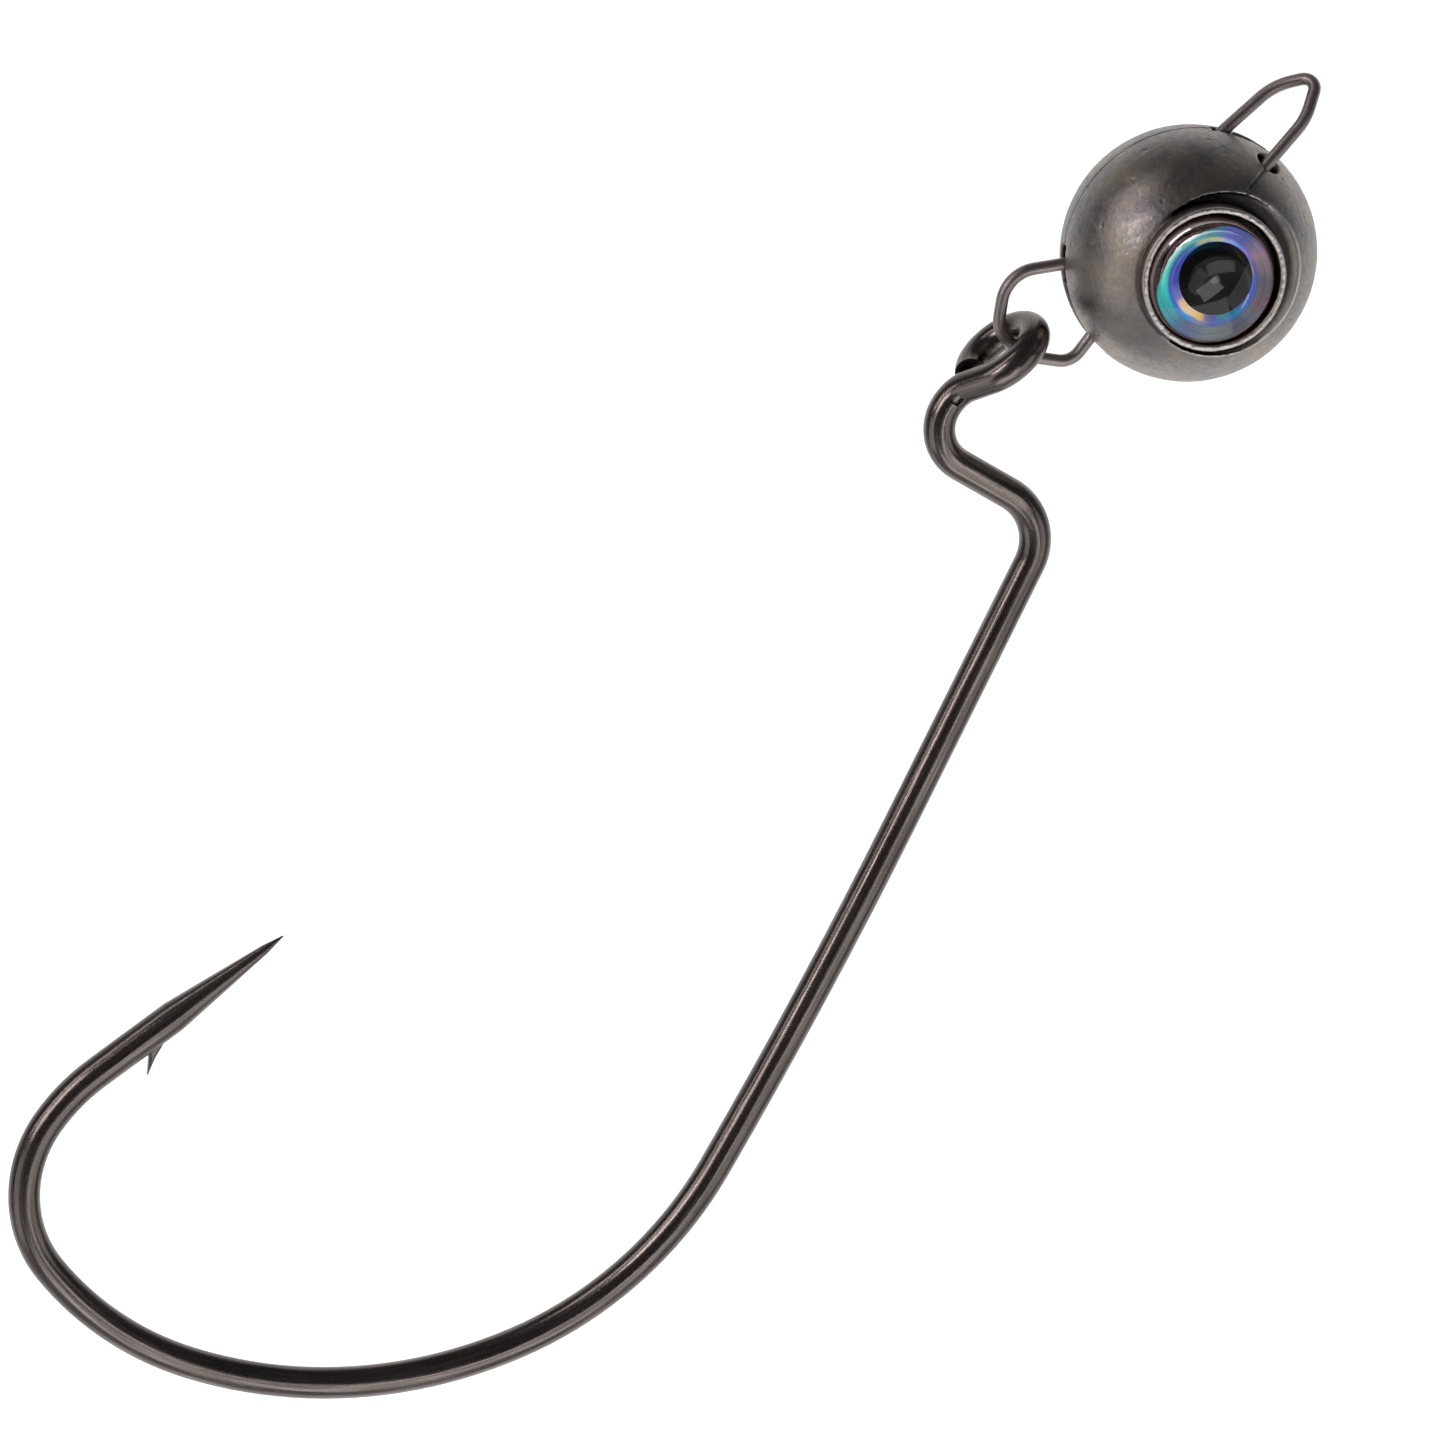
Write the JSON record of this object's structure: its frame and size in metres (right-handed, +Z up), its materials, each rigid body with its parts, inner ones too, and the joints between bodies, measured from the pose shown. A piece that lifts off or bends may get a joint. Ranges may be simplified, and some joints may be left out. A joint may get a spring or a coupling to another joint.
{
  "type": "jig head",
  "caption": "Ball-shaped fishing jig head with raised eye cups, stick-on eyes, a wire clip with a line-tie loop, and a swinging offset worm hook.",
  "frame": {"origin": "inside of the line-tie loop's nose, where the fishing line bears, with the jig hanging from it", "axes": "+Z up along the line, +Y along the eye axis towards the left eye, hook point towards -X"},
  "size_m": [0.0315, 0.0118, 0.0833],
  "materials": {
    "cast_lead": "satin",
    "clip_steel": "polished",
    "hook_steel": "polished",
    "eye_adhesive": "matte",
    "eye_foil": "gloss",
    "eye_resin": "gloss"
  },
  "bodies": {
    "head": {"ball_body": "cast_lead", "wire_clip": "clip_steel", "eye_pad_right": "eye_adhesive", "eye_foil_right": "eye_foil", "eye_dome_right": "eye_resin", "eye_pad_left": "eye_adhesive", "eye_foil_left": "eye_foil", "eye_dome_left": "eye_resin"},
    "hook": {"hook": "hook_steel"}
  },
  "joints": [
    {"name": "hook_swing", "type": "hinge", "parent": "head", "child": "hook", "pos_m": [-0.00493, 0, -0.0171], "axis": [0, 1, 0], "range_deg": [-62, 100]}
  ]
}
